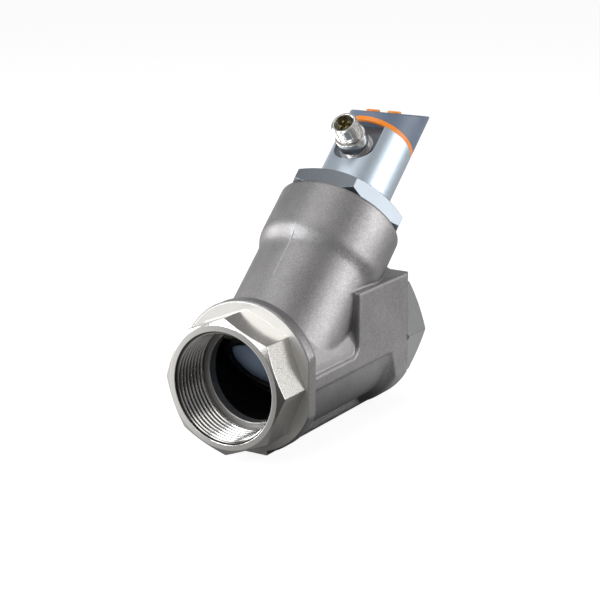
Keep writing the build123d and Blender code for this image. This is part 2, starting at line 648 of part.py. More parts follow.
# Connector shell: threaded socket, collar and a shank through the housing's wall
with BuildPart() as connector_shell:
    collar_top = COLLAR_SEAT + CONNECTOR_COLLAR_LENGTH
    shank_low = WALL_FACE - CONNECTOR_NUT - SHANK_END
    with BuildSketch(CONNECTOR_PROFILE) as shell_section:
        band(CONNECTOR_BORE_R, CONNECTOR_SHANK_R, shank_low, CONNECTOR_REACH)
        band(CONNECTOR_BORE_R, CONNECTOR_NECK_R, RECESS_FLOOR + GASKET, collar_top)
        band(CONNECTOR_BORE_R, CONNECTOR_COLLAR_R, COLLAR_SEAT, collar_top)
        thread_low = CONNECTOR_REACH - CONNECTOR_THREAD_LENGTH
        band(CONNECTOR_BORE_R, CONNECTOR_THREAD_R, thread_low, CONNECTOR_REACH)
    revolve(axis=CONNECTOR_LINE)
    mouth = connector_shell.faces().sort_by(CONNECTOR_LINE)[-1]
    chamfer(mouth.edges(), length=MOUTH_BEVEL)
    with BuildSketch(CONNECTOR_PLANE.offset(CONNECTOR_REACH - KEY_NOTCH_START)):
        with PolarLocations(CONNECTOR_THREAD_R, 1, start_angle=KEY_NOTCH_ANGLE):
            Rectangle(2 * KEY_NOTCH_DEPTH, KEY_NOTCH_WIDTH)
    extrude(amount=-KEY_NOTCH_LENGTH, mode=Mode.SUBTRACT)
save(connector_shell, "connector_shell")

# Flat gasket under the connector's shoulder
with BuildPart() as connector_gasket:
    with BuildSketch(CONNECTOR_PROFILE):
        band(CONNECTOR_SHANK_R + SEAT_GAP, GASKET_R, RECESS_FLOOR, RECESS_FLOOR + GASKET)
    revolve(axis=CONNECTOR_LINE)
save(connector_gasket, "connector_gasket")

# Nut that holds the connector from inside the housing
with BuildPart() as connector_nut:
    with BuildSketch(CONNECTOR_PLANE.offset(WALL_FACE)):
        RegularPolygon(CONNECTOR_NUT_AF / 2, 6, major_radius=False)
        Circle(CONNECTOR_SHANK_R + SEAT_GAP, mode=Mode.SUBTRACT)
    extrude(amount=-CONNECTOR_NUT)
save(connector_nut, "connector_nut")

# Contact carrier inside the shell
with BuildPart() as contact_carrier:
    carrier_top = CONNECTOR_REACH - SOCKET_FLOOR
    with BuildSketch(CONNECTOR_PLANE.offset(carrier_top)):
        Circle(CONNECTOR_BORE_R - SEAT_GAP)
        with PolarLocations(PIN_CIRCLE_R, PIN_COUNT, start_angle=45):
            Circle(PIN_R + SEAT_GAP, mode=Mode.SUBTRACT)
    extrude(amount=shank_low - carrier_top)
save(contact_carrier, "contact_carrier")

# Contact pins
with BuildPart() as contact_pins:
    with BuildSketch(CONNECTOR_PLANE.offset(CONNECTOR_REACH - PIN_SETBACK)):
        with PolarLocations(PIN_CIRCLE_R, PIN_COUNT, start_angle=45):
            Circle(PIN_R)
    extrude(amount=shank_low - PIN_TAIL - CONNECTOR_REACH + PIN_SETBACK)
save(contact_pins, "contact_pins")

# Coloured ring between the steel tube and the display cap
with BuildPart() as accent_ring:
    with BuildSketch(PROFILE):
        band(RING_INNER_R, TUBE_R, TUBE_TOP, RING_TOP)
    revolve(axis=BRANCH_AXIS)
save(accent_ring, "accent_ring")


def cap_cylinder(radius, low, depth):
    """Cylinder on the branch axis, cut off parallel to the sloping display face."""
    with BuildPart() as cylinder:
        with BuildSketch(BRANCH.offset(low)):
            Circle(radius)
        extrude(amount=2 * CAP_HEIGHT)
        split(bisect_by=FACE.offset(-depth), keep=Keep.BOTTOM)
    return cylinder.part


# Display cap: shell with the sloping face, window recess, button holes, board posts and stepped spigot
with BuildPart() as display_cap:
    step_r = RING_INNER_R - SHAFT_GAP
    spigot_r = step_r - SPIGOT_STEP
    add(cap_cylinder(TUBE_R, RING_TOP, 0))
    chamfer(display_cap.faces().sort_by(Axis(FACE.origin, FACE.z_dir))[-1].edges(), length=CAP_EDGE)
    add(cap_cylinder(TUBE_R - CAP_WALL, RING_TOP + CAP_FLOOR, FACE_WALL), mode=Mode.SUBTRACT)
    with BuildSketch(BRANCH.offset(RING_TOP)):
        Circle(spigot_r - SPIGOT_WALL)
    extrude(amount=CAP_FLOOR, mode=Mode.SUBTRACT)
    with BuildSketch(BRANCH.offset(TUBE_TOP)):
        Circle(step_r)
        Circle(spigot_r - SPIGOT_WALL, mode=Mode.SUBTRACT)
    extrude(amount=RING_WIDTH)
    with BuildSketch(BRANCH.offset(TUBE_TOP)):
        Circle(spigot_r)
        Circle(spigot_r - SPIGOT_WALL, mode=Mode.SUBTRACT)
        with Locations((WALL_FACE - RUN_GAP + TUBE_R / 2, 0)):
            Rectangle(TUBE_R, 2 * TUBE_R, mode=Mode.SUBTRACT)
    extrude(amount=-SPIGOT_LENGTH)
    with BuildSketch(FACE):
        with Locations((-WINDOW_RISE, 0)):
            Rectangle(WINDOW_WIDTH + 2 * SEAT_GAP, WINDOW_LENGTH + 2 * SEAT_GAP)
    extrude(amount=-WINDOW_GLASS, mode=Mode.SUBTRACT)
    with BuildSketch(FACE):
        with Locations((-WINDOW_RISE, 0)):
            Rectangle(WINDOW_WIDTH - 2 * WINDOW_LIP, WINDOW_LENGTH - 2 * WINDOW_LIP)
        with Locations((BUTTON_FALL, 0)):
            with GridLocations(0, BUTTON_SPACING, 1, 2):
                Circle(BUTTON_R + RUN_GAP)
    extrude(amount=-FACE_WALL, mode=Mode.SUBTRACT)
    with BuildSketch(FACE.offset(-FACE_WALL)):
        with Locations(*POSTS):
            Circle(POST_R)
    extrude(amount=FACE_WALL - DISPLAY_BOARD_DEPTH)
save(display_cap, "display_cap")

# Clear window in front of the display
with BuildPart() as display_window:
    with BuildSketch(FACE):
        with Locations((-WINDOW_RISE, 0)):
            Rectangle(WINDOW_WIDTH, WINDOW_LENGTH)
    extrude(amount=-WINDOW_GLASS)
save(display_window, "display_window")

# Display module between the face and its board
with BuildPart() as display_module:
    with BuildSketch(FACE.offset(-DISPLAY_BOARD_DEPTH)):
        with Locations((-MODULE_RISE, 0)):
            Rectangle(MODULE_WIDTH, MODULE_LENGTH)
    extrude(amount=DISPLAY_BOARD_DEPTH - FACE_WALL - SEAT_GAP)
save(display_module, "display_module")

# Display board on the cap's posts
with BuildPart() as display_board:
    with BuildSketch(FACE.offset(-DISPLAY_BOARD_DEPTH)):
        with Locations((DISPLAY_BOARD_FALL, 0)):
            RectangleRounded(DISPLAY_BOARD_LENGTH, DISPLAY_BOARD_WIDTH, DISPLAY_BOARD_CORNER)
    extrude(amount=-BOARD)
save(display_board, "display_board")

# Push switches under the two buttons
with BuildPart() as button_switches:
    with BuildSketch(FACE.offset(-DISPLAY_BOARD_DEPTH)):
        with Locations((BUTTON_FALL, 0)):
            with GridLocations(0, BUTTON_SPACING, 1, 2):
                Rectangle(SWITCH_SIZE, SWITCH_SIZE)
    extrude(amount=SWITCH_HEIGHT)
save(button_switches, "button_switches")

# Main board in the housing's rails
with BuildPart() as main_board:
    with BuildSketch(BOARD_PLANE.offset(-MAIN_BOARD_OFFSET)):
        with Locations((0, CAVITY_LOW + MAIN_BOARD_HEIGHT / 2)):
            Rectangle(MAIN_BOARD_WIDTH, MAIN_BOARD_HEIGHT)
    extrude(amount=-BOARD)
save(main_board, "main_board")

# Field probe that reaches down into the pocket
with BuildPart() as sensor_probe:
    probe_low = POCKET_END + POCKET_END_WALL + RUN_GAP
    with BuildSketch(PROFILE):
        band(0, POCKET_R - POCKET_WALL - RUN_GAP, probe_low, CAVITY_LOW)
        band(0, NECK_BORE_R + PROBE_FLANGE_OVERLAP, CAVITY_LOW, CAVITY_LOW + PROBE_FLANGE)
    revolve(axis=BRANCH_AXIS)
save(sensor_probe, "sensor_probe")

# Two push buttons in the sloping face
for button_name, side in (("mode_button", 1), ("set_button", -1)):
    with BuildPart() as button:
        with BuildSketch(FACE.offset(-FACE_WALL - RUN_GAP)):
            with Locations((BUTTON_FALL, side * BUTTON_SPACING / 2)):
                Circle(BUTTON_FLANGE_R)
        extrude(amount=-BUTTON_FLANGE)
        with BuildSketch(FACE.offset(-FACE_WALL - RUN_GAP)):
            with Locations((BUTTON_FALL, side * BUTTON_SPACING / 2)):
                Circle(BUTTON_R)
        extrude(amount=FACE_WALL + RUN_GAP + BUTTON_RISE)
        chamfer(button.faces().sort_by(Axis(FACE.origin, FACE.z_dir))[-1].edges(), length=BUTTON_CROWN)
    save(button, button_name)
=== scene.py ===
import bpy
import math
from mathutils import Matrix, Vector


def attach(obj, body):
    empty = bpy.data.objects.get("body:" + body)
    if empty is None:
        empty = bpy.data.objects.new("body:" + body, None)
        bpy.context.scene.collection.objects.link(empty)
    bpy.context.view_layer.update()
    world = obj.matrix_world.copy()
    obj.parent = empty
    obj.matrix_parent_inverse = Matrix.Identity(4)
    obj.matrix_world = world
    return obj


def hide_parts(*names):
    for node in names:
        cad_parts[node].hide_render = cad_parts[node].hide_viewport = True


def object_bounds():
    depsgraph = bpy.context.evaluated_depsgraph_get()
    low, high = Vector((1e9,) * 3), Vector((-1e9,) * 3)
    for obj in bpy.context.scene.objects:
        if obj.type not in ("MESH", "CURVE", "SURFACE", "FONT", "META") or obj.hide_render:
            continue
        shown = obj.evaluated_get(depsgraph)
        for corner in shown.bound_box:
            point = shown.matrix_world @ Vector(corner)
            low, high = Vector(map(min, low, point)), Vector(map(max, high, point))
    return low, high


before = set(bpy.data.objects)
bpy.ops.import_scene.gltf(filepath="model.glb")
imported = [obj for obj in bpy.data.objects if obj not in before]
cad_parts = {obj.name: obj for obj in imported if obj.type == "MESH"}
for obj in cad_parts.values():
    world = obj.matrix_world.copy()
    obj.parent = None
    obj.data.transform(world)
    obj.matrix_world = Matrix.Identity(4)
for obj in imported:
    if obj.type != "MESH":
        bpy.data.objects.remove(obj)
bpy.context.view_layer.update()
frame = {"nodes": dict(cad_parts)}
nodes = frame["nodes"]

MM = 0.001

# Places and sizes repeated from the part's source, in millimetres
BRANCH_ANGLE = math.radians(42.0)
BRANCH_ORIGIN = Vector((33.0, 0.0, 0.0))
BRANCH_Z = Vector((math.cos(BRANCH_ANGLE), 0.0, math.sin(BRANCH_ANGLE)))
BRANCH_X = Vector((-math.sin(BRANCH_ANGLE), 0.0, math.cos(BRANCH_ANGLE)))
BRANCH_Y = Vector((0.0, -1.0, 0.0))
BODY_LENGTH = 122.0
OCTAGON_LENGTH = 17.3
BORE_END = 24.2
CHAMBER_R = 21.0
THREAD_R = 23.9
THREAD_MINOR_R = 22.45
THREAD_PITCH = 2.309
THREAD_DEPTH = 19.5
BRANCH_LOWER_R = 25.8
BRANCH_UPPER_R = 28.1
STEP_LOW = 47.0
STEP_HIGH = 58.0
CONNECTOR_AXIS = 110.0
RECESS_FLOOR = 12.2
RECESS_R = 9.9

# Camera solved from the photograph
CAMERA_PLACE = (-516.1, -360.8, 210.0)
CAMERA_RIGHT = Vector((0.5313, -0.8472, 0.0))
CAMERA_UP = Vector((0.2244, 0.1407, 0.9643))
CAMERA_BACK = Vector((-0.8169, -0.5123, 0.2649))
CAMERA_LENS = 98.09

# World: strength for diffuse light, and in reflections the dim side and the cosines between which it turns white
AMBIENT = 0.32
STUDIO_DIM = 0.3
BACKDROP_START = 0.8
BACKDROP_FULL = 0.93

# Floor: size and gap under the object in metres, glow and shade for the camera, and in reflections a glow with a
# painted shadow near the object, and painted light and shade that darkens along one side between the two places and
# towards the outlet
FLOOR_SIZE = 6.0
FLOOR_GAP = 0.0002
FLOOR_GLOW = 0.86
FLOOR_SHADE = 0.3
PAINTED_SHADOW_DISTANCE = 0.15
MIRROR_PAINTED_SHADOW = 0.03
MIRROR_OPEN = 0.6
PAINTED_LIGHT_SIDE = (-0.6, -0.8, 0.0)
PAINTED_LIGHT_PLACES = (-0.015, 0.08)
PAINTED_LIGHT_STRENGTHS = (1.65, 0.15)
FAR_PAINTED_SHADE_PLACES = (0.08, 0.18)
FAR_PAINTED_SHADE_STRENGTHS = (1.0, 0.5)

# Panels that light the object: name, then metres to the right, up and towards the camera, width, height, power, colour
WHITE = (1.0, 1.0, 1.0)
PANELS = [
    ("key", 0.93, 0.14, 0.17, 0.85, 0.7, 6.4, WHITE),
    ("right_back", 0.8, 0.12, -0.35, 0.6, 0.6, 0.5, WHITE),
    ("left_back", -0.88, 0.2, -0.3, 0.4, 0.6, 4.2, WHITE),
    ("fill", -0.78, 0.42, 0.35, 0.4, 0.6, 5.5, (0.95, 0.97, 1.0)),
    ("front", -0.53, 0.2, 0.82, 0.4, 0.4, 1.6, WHITE),
    ("top", -0.02, 1.0, -0.07, 0.7, 0.6, 2.2, WHITE),
]
PANEL_TARGET = Vector((0.06, 0.0, 0.03))

# Slack of the masks that give one node several finishes and its painted shade, in millimetres
SLACK = 0.3


# Material helpers
class Tree:
    """A material's node tree with short calls for the nodes used here."""

    def __init__(self, name):
        self.material = bpy.data.materials.new(name)
        self.material.use_nodes = True
        self.nodes = self.material.node_tree.nodes
        self.links = self.material.node_tree.links
        self.shader = self.nodes["Principled BSDF"]
        self.coords = self.nodes.new("ShaderNodeTexCoord").outputs["Object"]

    def link(self, a, b):
        self.links.new(a, b)

    def noise(self, scale, detail, roughness):
        node = self.nodes.new("ShaderNodeTexNoise")
        node.inputs["Scale"].default_value = scale
        node.inputs["Detail"].default_value = detail
        node.inputs["Roughness"].default_value = roughness
        self.link(self.coords, node.inputs["Vector"])
        return node.outputs["Fac"]

    def ramp(self, value, stops):
        node = self.nodes.new("ShaderNodeValToRGB")
        while len(node.color_ramp.elements) < len(stops):
            node.color_ramp.elements.new(0.5)
        for element, (place, colour) in zip(node.color_ramp.elements, stops):
            element.position = place
            element.color = tuple(colour) + (1.0,)
        self.link(value, node.inputs["Fac"])
        return node.outputs["Color"]

    def spread(self, value, low, high, to_low=0.0, to_high=1.0):
        node = self.nodes.new("ShaderNodeMapRange")
        for key, number in (("From Min", low), ("From Max", high), ("To Min", to_low), ("To Max", to_high)):
            node.inputs[key].default_value = number
        self.link(value, node.inputs["Value"])
        return node.outputs["Result"]

    def math(self, operation, a, b=None):
        node = self.nodes.new("ShaderNodeMath")
        node.operation = operation
        for socket, value in zip(node.inputs, (a, b)):
            if value is None:
                continue
            if isinstance(value, (int, float)):
                socket.default_value = value
            else:
                self.link(value, socket)
        return node.outputs["Value"]

    def mix(self, factor, a, b):
        node = self.nodes.new("ShaderNodeMix")
        node.data_type = "RGBA"
        self.link(factor, node.inputs[0])
        for socket, value in ((node.inputs[6], a), (node.inputs[7], b)):
            if isinstance(value, tuple):
                socket.default_value = value + (1.0,)
            else:
                self.link(value, socket)
        return node.outputs[2]

    def blend(self, factor, a, b):
        node = self.nodes.new("ShaderNodeMix")
        node.data_type = "FLOAT"
        self.link(factor, node.inputs[0])
        for socket, value in ((node.inputs[2], a), (node.inputs[3], b)):
            if isinstance(value, (int, float)):
                socket.default_value = value
            else:
                self.link(value, socket)
        return node.outputs[0]

    def blend_normals(self, factor, a, b):
        node = self.nodes.new("ShaderNodeMix")
        node.data_type = "VECTOR"
        self.link(factor, node.inputs[0])
        self.link(a, node.inputs[4])
        self.link(b, node.inputs[5])
        return node.outputs[1]

    def parts(self, vector):
        node = self.nodes.new("ShaderNodeSeparateXYZ")
        self.link(vector, node.inputs[0])
        return node.outputs

    def along(self, direction):
        node = self.nodes.new("ShaderNodeVectorMath")
        node.operation = "DOT_PRODUCT"
        node.inputs[1].default_value = direction
        self.link(self.coords, node.inputs[0])
        return node.outputs["Value"]

    def bump(self, height, distance, strength, below=None):
        node = self.nodes.new("ShaderNodeBump")
        node.inputs["Distance"].default_value = distance
        node.inputs["Strength"].default_value = strength
        self.link(height, node.inputs["Height"])
        if below is not None:
            self.link(below, node.inputs["Normal"])
        return node.outputs["Normal"]

    def rounded(self, radius):
        node = self.nodes.new("ShaderNodeBevel")
        node.samples = 8
        node.inputs["Radius"].default_value = radius
        return node.outputs["Normal"]

    def finish(self, colour=None, rough=None, normal=None, metallic=0.0):
        self.shader.inputs["Metallic"].default_value = metallic
        for key, value in (("Base Color", colour), ("Roughness", rough), ("Normal", normal)):
            if value is not None:
                self.link(value, self.shader.inputs[key])
        return self.material


def brushed(name, dark, light, rough_low, rough_high, grain=900.0, round_off=0.00025):
    """Satin metal: fine grain, slight colour drift and softened edges."""
    t = Tree(name)
    grain_fac = t.noise(grain, 4.0, 0.6)
    drift = t.noise(55.0, 3.0, 0.6)
    colour = t.ramp(t.blend(t.spread(drift, 0.3, 0.7), grain_fac, drift), [(0.3, dark), (0.7, light)])
    rough = t.spread(grain_fac, 0.3, 0.7, rough_low, rough_high)
    return t.finish(colour, rough, t.bump(grain_fac, 0.00001, 0.06, t.rounded(round_off)), 1.0)


def plain(name, dark, light, rough_low, rough_high, scale=400.0, depth=0.00002, metallic=0.0, round_off=0.0002):
    """Moulded or sintered surface: a fine texture with a little colour drift."""
    t = Tree(name)
    fine = t.noise(scale, 5.0, 0.6)
    drift = t.noise(60.0, 2.0, 0.5)
    colour = t.ramp(drift, [(0.35, dark), (0.65, light)])
    rough = t.spread(fine, 0.3, 0.7, rough_low, rough_high)
    return t.finish(colour, rough, t.bump(fine, depth, 0.6, t.rounded(round_off)), metallic)


def cast_material():
    """Blasted casting whose wrench ends, collar faces and bores are machined bright, with painted shade inside the
    chamber and over the outlet end.
    """
    t = Tree("blasted_casting")
    half = BODY_LENGTH / 2
    place = t.parts(t.coords)
    from_middle = t.math("ABSOLUTE", t.math("SUBTRACT", place["X"], half * MM))
    across = t.math("ADD", t.math("POWER", place["Y"], 2.0), t.math("POWER", place["Z"], 2.0))

    # Masks, 1 where a finish or painted shade applies
    wrench_end = t.math("GREATER_THAN", from_middle, (half - OCTAGON_LENGTH - 0.1) * MM)
    bore = t.math("LESS_THAN", across, ((THREAD_R + SLACK) * MM) ** 2)
    near_end = t.math("GREATER_THAN", from_middle, (half - BORE_END) * MM)
    machined = t.math("MAXIMUM", wrench_end, t.math("MULTIPLY", bore, near_end))
    at_collar = t.math("LESS_THAN", from_middle, (half - OCTAGON_LENGTH + SLACK) * MM)
    behind_thread = t.math("LESS_THAN", from_middle, (half - THREAD_DEPTH + SLACK) * MM)
    dull = t.math("MAXIMUM", t.math("MULTIPLY", wrench_end, at_collar), t.math("MULTIPLY", behind_thread, bore))
    # Painted shade inside the chamber, where the unmachined casting is painted near black
    chamber_shade_mask = t.math("LESS_THAN", across, ((CHAMBER_R + SLACK) * MM) ** 2)
    # Painted shade over the whole machined outlet end, which is painted darker than the inlet end
    outlet_shade_mask = t.math("GREATER_THAN", place["X"], half * MM)
    square_enough = 0.9
    facing = t.parts(t.nodes.new("ShaderNodeTexCoord").outputs["Normal"])
    faced = t.math("GREATER_THAN", t.math("ABSOLUTE", facing["X"]), square_enough)

    # Colours
    grit = t.noise(1700.0, 3.0, 0.7)
    pits = t.noise(650.0, 4.0, 0.7)
    blotch = t.noise(60.0, 4.0, 0.6)
    turned = t.noise(1500.0, 3.0, 0.6)
    mottle = t.math("ADD", t.math("MULTIPLY", blotch, 0.3), t.math("MULTIPLY", grit, 0.7))
    cast_colour = t.ramp(mottle, [(0.36, (0.25, 0.243, 0.245)), (0.64, (0.40, 0.39, 0.39))])
    flats_colour = t.ramp(turned, [(0.3, (0.56, 0.545, 0.52)), (0.7, (0.63, 0.615, 0.59))])
    inlet_colour = t.mix(faced, flats_colour, (0.86, 0.845, 0.815))
    # Painted shade: the outlet end's machined colour is replaced by a dark grey
    ends_with_outlet_shade = t.mix(outlet_shade_mask, inlet_colour, (0.30, 0.305, 0.31))
    # Painted shade: the chamber's casting is painted near black
    cast_with_chamber_shade = t.mix(chamber_shade_mask, cast_colour, (0.06, 0.058, 0.062))
    colour = t.mix(machined, cast_with_chamber_shade, ends_with_outlet_shade)

    # Roughness and relief
    end_rough = t.blend(dull, t.spread(turned, 0.3, 0.7, 0.17, 0.23), 0.5)
    rough = t.blend(machined, t.spread(pits, 0.3, 0.7, 0.40, 0.52), end_rough)
    cast_normal = t.bump(t.math("ADD", grit, pits), 0.00016, 0.6, t.rounded(0.002))
    machined_normal = t.bump(turned, 0.00001, 0.2, t.rounded(0.0005))
    return t.finish(colour, rough, t.blend_normals(machined, cast_normal, machined_normal), 1.0)


def thread_material():
    """Cut thread with painted shade: dark in its roots, bright on its crests."""
    t = Tree("cut_thread")
    place = t.parts(t.coords)
    across = t.math("ADD", t.math("POWER", place["Y"], 2.0), t.math("POWER", place["Z"], 2.0))
    crest = t.spread(t.math("SQRT", across), (THREAD_R - 0.2) * MM, (THREAD_MINOR_R + 0.15) * MM)
    # Painted shade, darkening the colour from the crests down into the roots
    colour = t.ramp(crest, [(0.0, (0.03, 0.029, 0.028)), (0.55, (0.16, 0.155, 0.15)), (0.97, (0.70, 0.69, 0.67))])
    grain = t.noise(1500.0, 3.0, 0.6)
    return t.finish(colour, t.spread(grain, 0.3, 0.7, 0.16, 0.24), t.bump(grain, 0.00001, 0.2), 1.0)


def tube_material():
    """Satin steel tube, darker on the flat floor of its recess."""
    t = Tree("satin_tube")
    floor_slack, side_slack = 0.25, 0.2
    floor_level = (RECESS_FLOOR + BRANCH_ORIGIN.dot(BRANCH_X)) * MM
    off = t.math("ABSOLUTE", t.math("SUBTRACT", t.along(BRANCH_X), floor_level))
    on_floor = t.math("LESS_THAN", off, floor_slack * MM)
    aside = t.math("ABSOLUTE", t.parts(t.coords)["Y"])
    inside = t.math("LESS_THAN", aside, (RECESS_R + side_slack) * MM)
    grain = t.noise(1500.0, 4.0, 0.6)
    steel = t.ramp(grain, [(0.3, (0.56, 0.64, 0.72)), (0.7, (0.62, 0.70, 0.78))])
    colour = t.mix(t.math("MULTIPLY", on_floor, inside), steel, (0.16, 0.17, 0.19))
    return t.finish(colour, t.spread(grain, 0.3, 0.7, 0.38, 0.46), t.rounded(0.0003), 1.0)


def glass_material():
    """Dark, glossy window with a faint smear."""
    t = Tree("display_window_glass")
    smear = t.noise(90.0, 3.0, 0.6)
    t.shader.inputs["Base Color"].default_value = (0.02, 0.024, 0.03, 1.0)
    t.shader.inputs["Coat Weight"].default_value = 0.6
    return t.finish(None, t.spread(smear, 0.3, 0.7, 0.05, 0.12))


CAST = cast_material()
SEAM = brushed("cast_seam", (0.50, 0.49, 0.48), (0.66, 0.65, 0.64), 0.35, 0.45)
THREAD = thread_material()
SEAT = brushed("seat_steel", (0.10, 0.10, 0.105), (0.13, 0.13, 0.135), 0.35, 0.4)
TURNED = brushed("turned_steel", (0.56, 0.56, 0.55), (0.74, 0.74, 0.73), 0.2, 0.34)
BONNET = brushed("bonnet_nickel", (0.20, 0.225, 0.25), (0.23, 0.255, 0.28), 0.28, 0.31, 1200.0, 0.0005)
TUBE = tube_material()
CONNECTOR = brushed("bright_nickel", (0.66, 0.65, 0.63), (0.82, 0.81, 0.79), 0.14, 0.26, 900.0, 0.0002)
WIRE = brushed("spring_wire", (0.42, 0.42, 0.43), (0.56, 0.56, 0.57), 0.25, 0.4)
WASHER = brushed("bonded_washer", (0.40, 0.40, 0.41), (0.55, 0.55, 0.56), 0.25, 0.35)
RUBBER = plain("black_rubber", (0.012, 0.012, 0.013), (0.03, 0.03, 0.032), 0.6, 0.8)
PISTON = plain("piston_polymer", (0.10, 0.14, 0.20), (0.16, 0.20, 0.27), 0.3, 0.42, 500.0, 0.00001)
BEARING = plain("bearing_polymer", (0.45, 0.42, 0.33), (0.58, 0.54, 0.44), 0.45, 0.6)
MAGNET = plain("sintered_magnet", (0.05, 0.05, 0.055), (0.1, 0.1, 0.11), 0.35, 0.55, 900.0, 0.00003, 0.6)
BRASS = plain("gold_contacts", (0.30, 0.23, 0.09), (0.42, 0.33, 0.14), 0.3, 0.4, 900.0, 0.00001, 1.0)
CARRIER = plain("contact_carrier_plastic", (0.36, 0.35, 0.25), (0.44, 0.43, 0.32), 0.4, 0.55)
ORANGE = plain("orange_plastic", (0.80, 0.22, 0.015), (0.92, 0.30, 0.03), 0.3, 0.42, 700.0, 0.00001)
CAP = plain("blue_grey_plastic", (0.115, 0.15, 0.21), (0.15, 0.19, 0.26), 0.38, 0.5, 800.0, 0.00003)
BLACK = plain("display_black", (0.006, 0.006, 0.008), (0.014, 0.014, 0.018), 0.15, 0.3)
BOARD = plain("board_laminate", (0.01, 0.09, 0.035), (0.02, 0.15, 0.06), 0.35, 0.5)
SWITCH = plain("switch_plastic", (0.015, 0.015, 0.016), (0.04, 0.04, 0.045), 0.4, 0.55)
POTTING = plain("probe_potting", (0.04, 0.04, 0.05), (0.09, 0.09, 0.1), 0.4, 0.55)
WINDOW = glass_material()

FINISH = {
    "valve_body": CAST, "seat_ring": SEAT, "bonnet": BONNET, "bonnet_seal": RUBBER, "sensor_pocket": TURNED,
    "bonnet_stop_pin": TURNED, "return_spring": WIRE, "piston": PISTON, "piston_seal": RUBBER,
    "piston_magnet": MAGNET, "magnet_clip": WIRE, "guide_bush": BEARING, "head_housing": TUBE,
    "retaining_ring": WIRE, "swivel_seal": RUBBER, "head_stop_pin": TURNED, "connector_shell": CONNECTOR,
    "connector_gasket": WASHER, "connector_nut": CONNECTOR, "contact_carrier": CARRIER, "contact_pins": BRASS,
    "accent_ring": ORANGE, "display_cap": CAP, "display_window": WINDOW, "display_module": BLACK,
    "display_board": BOARD, "button_switches": SWITCH, "main_board": BOARD, "sensor_probe": POTTING,
    "mode_button": ORANGE, "set_button": ORANGE,
}
for name, material in FINISH.items():
    slots = nodes[name].material_slots
    for place in slots:
        place.material = material
    if not slots:
        nodes[name].data.materials.append(material)


# Mesh helpers
def mesh_piece(name, verts, faces, material, body):
    """A mesh from points in millimetres, dressed and set riding on its body."""
    data = bpy.data.meshes.new(name)
    data.from_pydata([tuple(MM * c for c in v) for v in verts], [], faces)
    data.update()
    data.materials.append(material)
    for polygon in data.polygons:
        polygon.use_smooth = True
    obj = bpy.data.objects.new(name, data)
    bpy.context.scene.collection.objects.link(obj)
    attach(obj, body)
    return obj


def placed(origin, across, side, along, radius, angle, height):
    """Point at a radius, angle and height about an axis."""
    return origin + along * height + (across * math.cos(angle) + side * math.sin(angle)) * radius


def ring_grid(count, segments):
    """Quads between consecutive rings of points, closed round the axis and from the last ring to the first."""
    faces = []
    for i in range(count):
        a, b = i * segments, ((i + 1) % count) * segments
        for j in range(segments):
            k = (j + 1) % segments
            faces.append((a + j, a + k, b + k, b + j))
    return faces


def thread_wave(phase):
    """Rounded V of a pipe thread: 0 at the root, 1 at the crest."""
    v = 1.0 - abs(2.0 * (phase % 1.0) - 1.0)
    return min(1.0, max(0.0, (v - 0.12) / 0.76))


def pipe_point(x, radius, angle):
    """Point at a place along the pipe, and a radius and angle round it."""
    return (x, radius * math.cos(angle), radius * math.sin(angle))


def pipe_thread(name, mouth, inward):
    """Helical female thread lining a pipe end, from its mouth inwards."""
    segments, steps = 120, 13
    start, end = 0.4, THREAD_DEPTH - 0.6
    root_r, back_r = THREAD_R - 0.08, THREAD_R - 0.02
    first_crest, last_crest, rise_in, rise_out = 0.2, 0.15, 0.6, 0.8
    count = int((end - start) / THREAD_PITCH * steps)
    angles = [2 * math.pi * j / segments for j in range(segments)]
    rings = []
    for i in range(count + 1):
        depth = start + (end - start) * i / count
        fade = min(1.0, (depth - start) / rise_in + first_crest, (end - depth) / rise_out + last_crest)
        ring = []
        for j, angle in enumerate(angles):
            crest = thread_wave(depth / THREAD_PITCH - j / segments)
            radius = root_r - (root_r - THREAD_MINOR_R) * crest * fade
            ring.append(pipe_point(mouth + inward * depth, radius, angle))
        rings.append(ring)
    for depth in (end, start):
        rings.append([pipe_point(mouth + inward * depth, back_r, angle) for angle in angles])
    verts = [v for ring in rings for v in ring]
    mesh_piece(name, verts, ring_grid(len(rings), segments), THREAD, "valve")


pipe_thread("inlet_thread", 0.0, 1.0)
pipe_thread("outlet_thread", BODY_LENGTH, -1.0)


